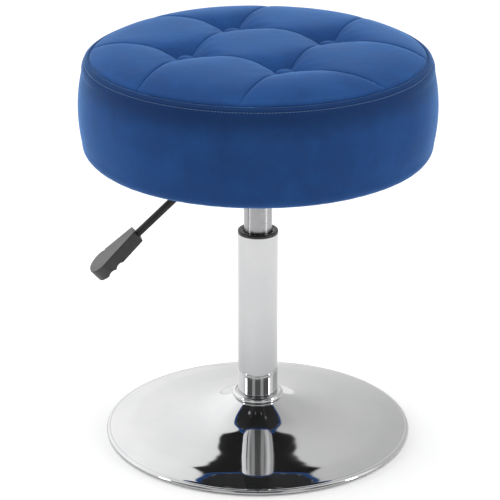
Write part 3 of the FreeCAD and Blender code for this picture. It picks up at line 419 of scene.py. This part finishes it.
def make_top(columns):
    """Points, in the creases' frame, and faces of the top: a grid, a joining strip, and rings to the seam."""
    count = len(columns)
    rings = [191.0, 193.5, 195.8, 197.8, 199.4, 200.6, 201.4, 202.0, 202.5, SEAM_R]
    axis = axis_points(200, 3.2)
    n = len(axis)
    gu, gv = np.meshgrid(axis, axis, indexing="ij")
    inside = np.hypot(gu, gv) < rings[0] - 2.2
    cell = inside[:-1, :-1] & inside[1:, :-1] & inside[1:, 1:] & inside[:-1, 1:]
    used = np.zeros((n, n), bool)
    for du in (0, 1):
        for dv in (0, 1):
            used[du:n - 1 + du, dv:n - 1 + dv] |= cell
    index = -np.ones((n, n), int)
    index[used] = np.arange(used.sum())
    uv = list(zip(gu[used], gv[used]))
    faces, edge = [], {}
    for i, j in zip(*np.nonzero(cell)):
        loop = [index[i, j], index[i + 1, j], index[i + 1, j + 1], index[i, j + 1]]
        faces.append(tuple(loop))
        for p, q in zip(loop, loop[1:] + loop[:1]):
            key = tuple(sorted((p, q)))
            edge[key] = edge.get(key, 0) + 1

    # the strip between the grid's stepped rim and the first ring
    rim = [k for k, c in edge.items() if c == 1]
    rim_points = sorted({p for e in rim for p in e})
    first, base = len(uv), len(rim_points)
    ring = [(rings[0] * math.cos(a), rings[0] * math.sin(a)) for a in ring_angles(rings[0], columns)]
    where = {p: k for k, p in enumerate(rim_points)}
    lines = [(where[p], where[q]) for p, q in rim]
    lines += [(base + k, base + (k + 1) % count) for k in range(count)]
    back_to = rim_points + [first + k for k in range(count)]
    cdt = delaunay_2d_cdt([Vector(p) for p in [uv[p] for p in rim_points] + ring], lines, [], 0, 1e-6)
    got, tris, orig = cdt[0], cdt[2], cdt[3]
    for tri in tris:
        c = (got[tri[0]] + got[tri[1]] + got[tri[2]]) / 3
        i, j = np.searchsorted(axis, c[0]) - 1, np.searchsorted(axis, c[1]) - 1
        if 0 <= i < n - 1 and 0 <= j < n - 1 and cell[i, j]:
            continue
        faces.append(tuple(back_to[orig[k][0]] for k in tri))
    uv += ring

    for r in rings[1:]:
        here = len(uv)
        uv += [(r * math.cos(a), r * math.sin(a)) for a in ring_angles(r, columns)]
        faces += row_faces(here, count)
    return np.array(uv), faces


def row_faces(here, count):
    """Faces from the row of points that starts at here back to the row before it."""
    return [(here - count + k, here + k, here + (k + 1) % count, here - count + (k + 1) % count)
            for k in range(count)]


def side_profile():
    """(r, z) of the rows down the band and round the foot, and each row's distance from the seam."""
    shoulder = arc((SEAM_R, SEAM_Z), (212.9, 480.4), 14.5, 60)
    wall = arc((212.9, 480.4), (214.2, 393.1), 205.0, 34)
    roll = arc((214.2, 393.1), (196.3, 373.6), 18.2, 22)
    line = np.concatenate([shoulder, wall[1:], roll[1:]])
    length = np.concatenate([[0], np.cumsum(np.hypot(*np.diff(line, axis=0).T))])
    marks = [0.4, 0.8, 1.2, 1.8, 2.6, 3.6, 4.8, 6.0, 7.0, 7.7,
             8.2, 8.6, 9.0, 9.4, 9.8, 10.3, 11.0, 12.0, 13.4]
    marks += list(np.arange(15.5, length[-1] - 1, 3.0)) + [length[-1]]
    side = np.stack([np.interp(marks, length, line[:, 0]), np.interp(marks, length, line[:, 1])], 1)
    return side, np.array(marks)


# (r, z) of the rows from the foot to the middle: the hem over the board's edge, then the pad's underside
UNDERSIDE = [(193.0, 373.6), (189.0, 373.6), (184.0, 373.6), (180.5, 373.65), (178.6, 373.9),
             (178.3, 374.5), (178.7, 375.0), (184.0, 375.05), (190.0, 375.05), (194.3, 375.1),
             (194.5, 378.0), (194.5, 384.0), (194.5, 389.5), (194.0, 391.2), (180.0, BOARD_TOP),
             (150.0, BOARD_TOP), (110.0, BOARD_TOP), (60.0, BOARD_TOP), (20.0, BOARD_TOP)]


def make_cushion():
    """The closed cushion before its swell and folds, with what the later steps need to find their way."""
    columns = seat_columns()
    count = len(columns)
    uv, faces = make_top(columns)
    x, y = uv[:, 0] * TURN_COS - uv[:, 1] * TURN_SIN, uv[:, 0] * TURN_SIN + uv[:, 1] * TURN_COS
    z, near, r = top_form(x, y)
    top = np.stack([x, y, z], 1)
    side, marks = side_profile()
    t = ring_angles(SEAM_R, columns) + TURN
    verts = [top]
    here = len(top)
    for pr, pz in np.concatenate([side, np.array(UNDERSIDE)]):
        verts.append(np.stack([pr * np.cos(t), pr * np.sin(t), np.full(count, pz)], 1))
        faces += row_faces(here, count)
        here += count
    verts.append(np.array([[0.0, 0.0, BOARD_TOP]]))
    faces += [(here - count + c, here, here - count + (c + 1) % count) for c in range(count)]
    return np.concatenate(verts), faces, len(top), count, marks, near, r


verts, faces, top_count, column_count, side_marks, near, top_r = make_cushion()


VOXEL = 0.0055                           # of the coarse copy that is simulated, in metres
FRAMES = 20
TOP_CAP, SIDE_CAP = 3.0, 1.6             # how far the swell may move a point, in mm


def cloth_swell(verts, faces):
    """How far pressure moves a pinned cloth copy of the cushion, at each of its points, in mm."""
    me = bpy.data.meshes.new("swell")
    me.from_pydata([tuple(v) for v in verts * MM], [], faces)
    o = bpy.data.objects.new("swell", me)
    scene.collection.objects.link(o)
    remesh = o.modifiers.new("remesh", "REMESH")
    remesh.mode, remesh.voxel_size = "VOXEL", VOXEL
    dg = bpy.context.evaluated_depsgraph_get()
    coarse = bpy.data.meshes.new_from_object(o.evaluated_get(dg))
    o.modifiers.clear()
    o.data = coarse
    rest = np.array([v.co for v in coarse.vertices]) / MM
    u, v = to_uv(rest[:, 0], rest[:, 1])
    r = np.hypot(rest[:, 0], rest[:, 1])
    on_top = rest[:, 2] > 490
    crease = np.minimum(np.abs(np.abs(u) - SPREAD), np.abs(np.abs(v) - SPREAD))
    button = np.min([np.hypot(rest[:, 0] - bx, rest[:, 1] - by) for bx, by in BUTTONS], axis=0)
    # held at the creases, the buttons, the seam and the board
    hold = np.zeros(len(rest))
    hold[on_top & (crease < 3.5)] = 0.9
    hold[on_top & (button < 15)] = 1.0
    hold[(np.abs(rest[:, 2] - SEAM_Z) < 4.5) & (r > 197)] = 1.0
    hold[rest[:, 2] < 396] = 1.0
    group = o.vertex_groups.new(name="hold")
    for w in (0.9, 1.0):
        group.add([int(k) for k in np.nonzero(hold == w)[0]], w, "REPLACE")
    cloth = o.modifiers.new("cloth", "CLOTH")
    c = cloth.settings
    c.quality, c.mass, c.air_damping = 6, 0.35, 2.0
    c.tension_stiffness = c.compression_stiffness = 22.0
    c.shear_stiffness, c.bending_stiffness = 12.0, 0.8
    c.vertex_group_mass, c.pin_stiffness = "hold", 1.0
    c.use_pressure, c.uniform_pressure_force = True, 4.0
    c.effector_weights.gravity = 0.0
    cloth.collision_settings.use_collision = False
    cloth.point_cache.frame_start, cloth.point_cache.frame_end = 1, FRAMES
    for f in range(1, FRAMES + 1):
        scene.frame_set(f)
    dg = bpy.context.evaluated_depsgraph_get()
    done = o.evaluated_get(dg).to_mesh()
    moved = np.array([v.co for v in done.vertices]) / MM - rest
    bpy.data.objects.remove(o)
    scene.frame_set(1)
    return rest, moved


def carry(rest, moved, to):
    """Moves from the coarse copy's points to the fine mesh's, weighted by closeness."""
    tree = KDTree(len(rest))
    for k, p in enumerate(rest):
        tree.insert(p, k)
    tree.balance()
    out = np.zeros_like(to)
    for k, p in enumerate(to):
        found = tree.find_n(p, 8)
        w = np.array([math.exp(-(d / 6.0) ** 2) + 1e-6 for _, _, d in found])
        out[k] = (moved[[i for _, i, _ in found]] * w[:, None]).sum(0) / w.sum()
    return out


rest, moved = cloth_swell(verts, faces)
size = np.linalg.norm(moved, axis=1)
limit = np.where(rest[:, 2] > 495, TOP_CAP, SIDE_CAP)
moved *= (limit * np.tanh(size / limit) / np.maximum(size, 1e-9))[:, None]
shown = slice(0, top_count + len(side_marks) * column_count)
verts[shown] += carry(rest, moved, verts[shown])

# folds, seam, stitched band and foot gathers, which the coarse copy can't hold
x, y = verts[:top_count, 0], verts[:top_count, 1]
verts[:top_count, 2] += top_folds(x, y, near, top_r)
angle = np.arctan2(y, x)
verts[:top_count, 2] -= 1.0 * np.exp(-((SEAM_R - top_r) / 1.1) ** 2)
verts[:top_count, 2] += 0.5 * np.exp(-((SEAM_R - top_r - 3.5) / 2.4) ** 2)
verts[:top_count, 2] += (0.35 * smooth(top_r, 30, 130) * (1 - smooth(top_r, 185, 203))
                         * waves(angle, [(3, .5, .4), (5, .4, 2.1), (8, .35, 4.0)]))
for k, mark in enumerate(side_marks):
    rows = slice(top_count + k * column_count, top_count + (k + 1) * column_count)
    p = verts[rows]
    a = np.arctan2(p[:, 1], p[:, 0])
    out = np.stack([np.cos(a), np.sin(a), 0 * a], 1)
    lean = smooth(mark, 0, 20)
    n = out * (0.55 + 0.45 * lean) + np.array([0, 0, 1.0]) * 0.8 * (1 - lean)
    n /= np.linalg.norm(n, axis=1)[:, None]
    push = -1.0 * math.exp(-(mark / 1.0) ** 2)
    push += 0.75 * smooth(mark, 0.8, 2.6) * (1 - smooth(mark, 7.6, 9.0))
    push += -0.55 * math.exp(-((mark - STITCH) / 0.7) ** 2)
    push = push + 0.10 * math.exp(-((mark - STITCH) / 2.2) ** 2) * np.cos(a * STITCHES)
    low = smooth(mark, 118, 140)
    push = push + low * waves(a, [(61, .16, .3), (83, .12, 1.9), (47, .14, 4.4)])
    push = push + smooth(mark, 14, 60) * (1 - low) * waves(a, [(4, .25, 1.0), (7, .22, 3.1), (11, .15, .2)])
    verts[rows] = p + n * np.reshape(push, (-1, 1))
cushion = add_mesh("seat_cushion", verts, faces, "velvet", "seat")
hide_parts("foam_pad", "top_panel", "side_band")

# topstitching: one short thread for each stitch, lying in its row
row = side_marks.tolist().index(STITCH)
line = verts[top_count + row * column_count: top_count + (row + 1) * column_count]
order = np.argsort(np.arctan2(line[:, 1], line[:, 0]))
line = line[order]
line_angle = np.arctan2(line[:, 1], line[:, 0])


def on_row(a):
    """The point of the stitched row at angle a."""
    a = (a + math.pi) % (2 * math.pi) - math.pi
    r = np.interp(a, line_angle, np.hypot(line[:, 0], line[:, 1]), period=2 * math.pi)
    z = np.interp(a, line_angle, line[:, 2], period=2 * math.pi)
    return np.array([r * math.cos(a), r * math.sin(a), z])


def tube_faces(first, rings, sides):
    """Faces of a closed tube of rings with so many sides each, its points starting at first."""
    out = []
    for i in range(rings - 1):
        for c in range(sides):
            low, high = first + i * sides, first + (i + 1) * sides
            d = (c + 1) % sides
            out.append((low + c, low + d, high + d, high + c))
    last = first + (rings - 1) * sides
    out.append(tuple(first + c for c in reversed(range(sides))))
    out.append(tuple(last + c for c in range(sides)))
    return out


STITCH_HALF = 1.35 / 208.0               # half a stitch's length, as an angle at the row
THREAD_R, THREAD_SIDES = 0.34, 6
# places along a stitch from end to end, with its thickness there
STITCH_RINGS = [(-1.0, 0.10), (-0.86, 0.62), (-0.55, 0.92), (0.0, 1.0), (0.55, 0.92), (0.86, 0.62), (1.0, 0.10)]
stitch_verts, stitch_faces = [], []
for k in range(STITCHES):
    a = 2 * math.pi * (k + 0.5) / STITCHES
    along = np.array([-math.sin(a), math.cos(a), 0.0])
    out = np.array([0.80 * math.cos(a), 0.80 * math.sin(a), 0.60])
    up = np.cross(along, out)
    first = len(stitch_verts)
    for s, w in STITCH_RINGS:
        p = on_row(a + s * STITCH_HALF) + out * (0.10 + 0.30 * (1 - s * s))
        for c in range(THREAD_SIDES):
            g = 2 * math.pi * c / THREAD_SIDES
            stitch_verts.append(p + THREAD_R * w * (math.cos(g) * out + math.sin(g) * up))
    stitch_faces += tube_faces(first, len(STITCH_RINGS), THREAD_SIDES)
add_mesh("topstitching", stitch_verts, stitch_faces, "velvet", "seat", "thread")

# covered buttons
BUTTON_SIDES = 48
BUTTON_RAISE = 3.7
button_verts, button_faces = [], []
# (r, z) from the middle of the underside to the top of the dome
DOME = [(0.0, 492.9), (6.0, 492.9), (9.6, 493.1), (11.2, 494.0), (11.6, 495.0), (11.3, 496.1), (10.6, 497.2),
        (9.4, 498.3), (7.8, 499.2), (5.8, 499.85), (3.6, 500.2), (1.6, 500.32), (0.0, 500.35)]
for bx, by in BUTTONS:
    first = len(button_verts)
    for r, z in DOME:
        for c in range(BUTTON_SIDES):
            a = 2 * math.pi * c / BUTTON_SIDES
            # small gathers where the velvet is tucked under
            tuck = 1 + 0.035 * math.cos(16 * a) * (1 - smooth(z, 493.0, 496.6)) * (r > 5)
            button_verts.append((bx + max(r, 0.02) * tuck * math.cos(a),
                                 by + max(r, 0.02) * tuck * math.sin(a), z + BUTTON_RAISE))
    button_faces += tube_faces(first, len(DOME), BUTTON_SIDES)
buttons = add_mesh("covered_buttons", button_verts, button_faces, "velvet", "seat")
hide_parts("tuft_buttons")

# dust cover: thin cloth under the board, drawn in a little between its staples
COVER_SIDES = 240
COVER_R = 188.6
cover_verts, cover_faces = [], []
radii = [2.0] + list(np.arange(10, 186, 4.0)) + [187.0, COVER_R]
for level in (373.5, 373.0):
    for r in radii:
        for c in range(COVER_SIDES):
            a = 2 * math.pi * c / COVER_SIDES
            loose = smooth(r, 112, 135) * (1 - smooth(r, 165, 180))
            sag = loose * (0.25 * math.cos(9 * a + r / 14) + 0.25 * math.cos(13 * a - r / 9 + 1))
            edge = 0.5 * math.cos(36 * a) * smooth(r, 180, COVER_R)
            cover_verts.append(((r + edge) * math.cos(a), (r + edge) * math.sin(a), level + sag))
ring_count = len(radii)
for face in (0, 1):                      # the upper one and, the other way round, the lower one
    base = face * ring_count * COVER_SIDES
    for i in range(ring_count - 1):
        for c in range(COVER_SIDES):
            here, there = base + i * COVER_SIDES, base + (i + 1) * COVER_SIDES
            d = (c + 1) % COVER_SIDES
            q = (here + c, there + c, there + d, here + d)
            cover_faces.append(q if face == 0 else q[::-1])
    cap = tuple(base + c for c in range(COVER_SIDES))
    cover_faces.append(cap if face == 0 else cap[::-1])
low_rim, high_rim = (2 * ring_count - 1) * COVER_SIDES, (ring_count - 1) * COVER_SIDES
for c in range(COVER_SIDES):
    d = (c + 1) % COVER_SIDES
    cover_faces.append((high_rim + c, low_rim + c, low_rim + d, high_rim + d))
cover = add_mesh("dust_cover_cloth", cover_verts, cover_faces, "black_cloth", "seat")
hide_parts("dust_cover")


# ---------------------------------------------------------------- spun base
def lathe(points, count):
    """Points and faces of a closed ring with this (r, z) outline, in millimetres."""
    t = 2 * np.pi * np.arange(count) / count
    out = [np.stack([r * np.cos(t), r * np.sin(t), np.full(count, z)], 1) for r, z in points]
    got = []
    n = len(points)
    for i in range(n):
        for c in range(count):
            d = (c + 1) % count
            j = (i + 1) % n
            got.append((i * count + c, i * count + d, j * count + d, j * count + c))
    return np.concatenate(out), got


def curve_through(points, step):
    """A smooth line through (r, z) points, sampled about every step."""
    p = np.array(points, float)
    p = np.concatenate([[2 * p[0] - p[1]], p, [2 * p[-1] - p[-2]]])
    out = []
    for a, b, c, d in zip(p, p[1:], p[2:], p[3:]):
        parts = max(1, int(np.hypot(*(c - b)) / step))
        for k in range(parts):
            u = k / parts
            out.append(0.5 * (2 * b + (c - a) * u + (2 * a - 5 * b + 4 * c - d) * u ** 2
                              + (3 * b - 3 * c + d - a) * u ** 3))
    return out + [p[-2]]


BASE_WALL = 1.25
# (r, z) of the upper side, of the rolled rim, and back along the inside
skin = curve_through([(29.0, 46.9), (35.84, 43.03), (42.85, 39.49), (50.03, 36.29), (57.35, 33.44),
                      (64.8, 30.93), (72.35, 28.85), (80, 27.02), (90, 25.0), (100, 23.15), (115, 20.65),
                      (130, 18.4), (145, 16.15), (160, 13.75), (173, 11.1), (184.5, 8.55)], 1.5)
rim = [(186.5, 8.15), (187.4, 7.78), (188.0, 7.62), (188.7, 7.75), (189.5, 7.72), (190.4, 7.35), (191.2, 6.75),
       (191.9, 5.95), (192.35, 5.1), (192.5, 4.3), (192.35, 3.5), (191.95, 2.75), (191.3, 2.1), (190.4, 1.6),
       (189.4, 1.3), (188.6, 1.25), (188.6, 2.4), (189.4, 2.45), (190.2, 2.8), (190.9, 3.5), (191.2, 4.4),
       (190.9, 5.3), (190.0, 6.05), (188.4, 6.5), (186.5, 7.0)]
inner = [(r, z - BASE_WALL) for r, z in skin[::-1][::3]] + [(29.0, 45.65)]
base_verts, base_faces = lathe([tuple(p) for p in skin] + rim + inner, 480)
base = add_mesh("spun_base", base_verts, base_faces, "chrome", "base")
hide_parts("base_shell")

# ---------------------------------------------------------------- floor, lights and surroundings
floor_mesh = bpy.data.meshes.new("studio_floor")
floor_mesh.from_pydata([(-9, -9, 0), (9, -9, 0), (9, 9, 0), (-9, 9, 0)], [], [(0, 1, 2, 3)])
floor = bpy.data.objects.new("studio_floor", floor_mesh)
scene.collection.objects.link(floor)
m, t, s, _ = material("studio_floor", Roughness=0.9, Specular_IOR_Level=0.0)
s.inputs["Base Color"].default_value = (0.93, 0.93, 0.93, 1)
glow = t.node("ShaderNodeEmission", {
    0: (1, 1, 1, 1), 1: t.math("MULTIPLY", t.node("ShaderNodeLightPath").outputs["Is Camera Ray"], 0.22)})
lit = t.node("ShaderNodeAddShader", {0: s.outputs[0], 1: glow.outputs[0]})
mixer = t.node("ShaderNodeMixShader", {
    0: t.node("ShaderNodeNewGeometry").outputs["Backfacing"],
    1: lit.outputs[0], 2: t.node("ShaderNodeBsdfTransparent").outputs[0]})
out = [n for n in m.node_tree.nodes if n.type == "OUTPUT_MATERIAL"][0]
t.put(out.inputs[0], mixer.outputs[0])
floor_mesh.materials.append(m)


def light(name, where, look, size, power, seen=False):
    """An area light that points at look, and shows in reflections if seen."""
    d = bpy.data.lights.new(name, "AREA")
    d.shape, d.size, d.size_y, d.energy = "RECTANGLE", size[0], size[1], power
    o = bpy.data.objects.new(name, d)
    o.location = where
    o.rotation_euler = (Vector(look) - Vector(where)).to_track_quat("-Z", "Y").to_euler()
    o.visible_glossy = seen
    o.visible_camera = False
    scene.collection.objects.link(o)


light("overhead", (0.0, 0.2, 2.6), (0, 0, 0.3), (2.4, 2.4), 32)
light("strip_left", (-2.3, -0.85, 0.62), (0, 0, 0.35), (0.30, 1.0), 10, seen=True)
light("strip_right", (2.3, -0.85, 0.62), (0, 0, 0.35), (0.30, 1.0), 13, seen=True)

world = bpy.data.worlds.new("studio")
scene.world = world
world.use_nodes = True
t = Tree(world.node_tree)
t.tree.nodes.clear()
direction = t.node("ShaderNodeSeparateXYZ", {0: t.node("ShaderNodeTexCoord").outputs["Generated"]})
wx, wy, wz = direction.outputs           # -y is in front of the stool and +z is overhead

# dim in front, with a paler panel at each side of the middle, and bright from the sides round to the back
wide = t.math("ABSOLUTE", wx)
panels = t.math("MULTIPLY", t.ramp(wide, 0.24, 0.30), t.ramp(wide, 0.50, 0.56, 1.0, 0.0))
front = t.math("ADD", 0.12, t.math("MULTIPLY", panels, 0.35))
level = t.math("MAXIMUM", front, t.ramp(wy, -0.62, -0.05, 0.0, 1.0))

# brightest behind at the left and darker behind at the right, and a little darker overhead
right_back = t.math("MULTIPLY", t.ramp(wx, -0.30, 0.30), t.ramp(wy, 0.0, 0.25))
left_back = t.math("MULTIPLY", t.ramp(wx, -0.45, 0.0, 1.0, 0.0), t.ramp(wy, 0.0, 0.25))
level = t.math("MULTIPLY", level, t.math("ADD", 1.2, t.math("SUBTRACT", t.math("MULTIPLY", left_back, 0.15),
                                                            t.math("MULTIPLY", right_back, 0.54))))
level = t.math("MULTIPLY", level, t.ramp(wz, 0.62, 0.95, 1.0, 0.75))

# a dark gap high up behind, wider towards the top, which the front of the base reflects
ahead = t.math("MAXIMUM", wy, 0.02)
slant = t.math("DIVIDE", wide, ahead)
reach = t.ramp(wz, 0.64, 0.70, 0.058, 0.185)
dark = t.math("MULTIPLY", t.ramp(t.math("SUBTRACT", slant, reach), -0.01, 0.01, 1.0, 0.0),
              t.ramp(wz, 0.57, 0.59))
level = t.math("MULTIPLY", level, t.math("SUBTRACT", 1.0, t.math("MULTIPLY", dark, 0.98)))
seen_by_camera = t.node("ShaderNodeLightPath").outputs["Is Camera Ray"]
level = t.mix(seen_by_camera, level, (1.0, 1.0, 1.0, 1.0))
surround = t.node("ShaderNodeBackground", {0: level, 1: 1.0})
t.node("ShaderNodeOutputWorld", {0: surround.outputs[0]})
scene.view_settings.view_transform = "Standard"
